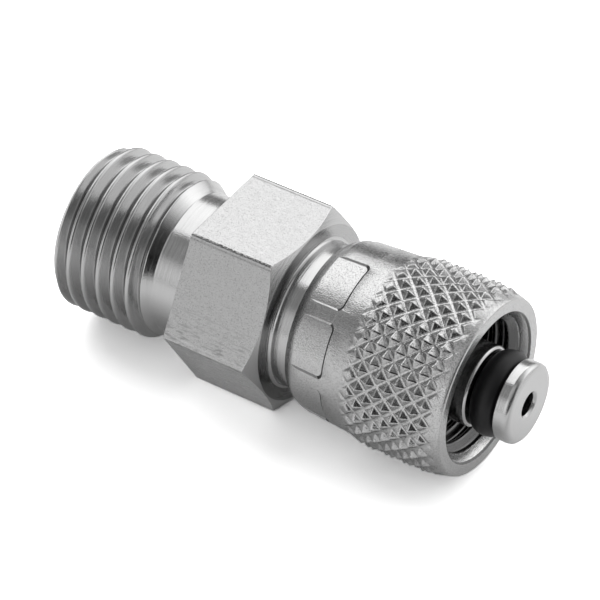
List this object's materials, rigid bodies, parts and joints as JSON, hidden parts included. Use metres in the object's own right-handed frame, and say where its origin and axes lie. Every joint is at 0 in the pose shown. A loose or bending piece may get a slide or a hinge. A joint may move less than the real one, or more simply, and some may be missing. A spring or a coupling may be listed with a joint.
{
  "type": "quick test adapter",
  "caption": "Hydraulic adapter with a male pipe thread, a hexagon, a diamond-knurled swivel nut and a sealing probe.",
  "frame": {"origin": "on the axis, halfway between the end of the male thread and the end of the probe", "axes": "+X along the axis from the male thread to the probe; +Z square to one pair of hexagon flats; +Y towards a hexagon corner"},
  "size_m": [0.0382, 0.0164, 0.015],
  "materials": {
    "turned_steel": "bright turned stainless steel",
    "knurled_steel": "knurled stainless steel, a little matt",
    "spring_steel": "plain spring wire",
    "black_rubber": "smooth black moulded rubber"
  },
  "bodies": {
    "adapter": {"adapter_body": "turned_steel", "probe_o_ring": "black_rubber"},
    "ring": {"retaining_ring": "spring_steel"},
    "nut": {"knurled_nut": "knurled_steel"}
  },
  "joints": [
    {"name": "ring_turn", "type": "hinge", "parent": "adapter", "child": "ring", "pos_m": [0, 0, 0], "axis": [1, 0, 0], "continuous": true},
    {"name": "nut_slide", "type": "slide", "parent": "ring", "child": "nut", "axis": [1, 0, 0], "range_m": [-0.0014, 0]}
  ]
}
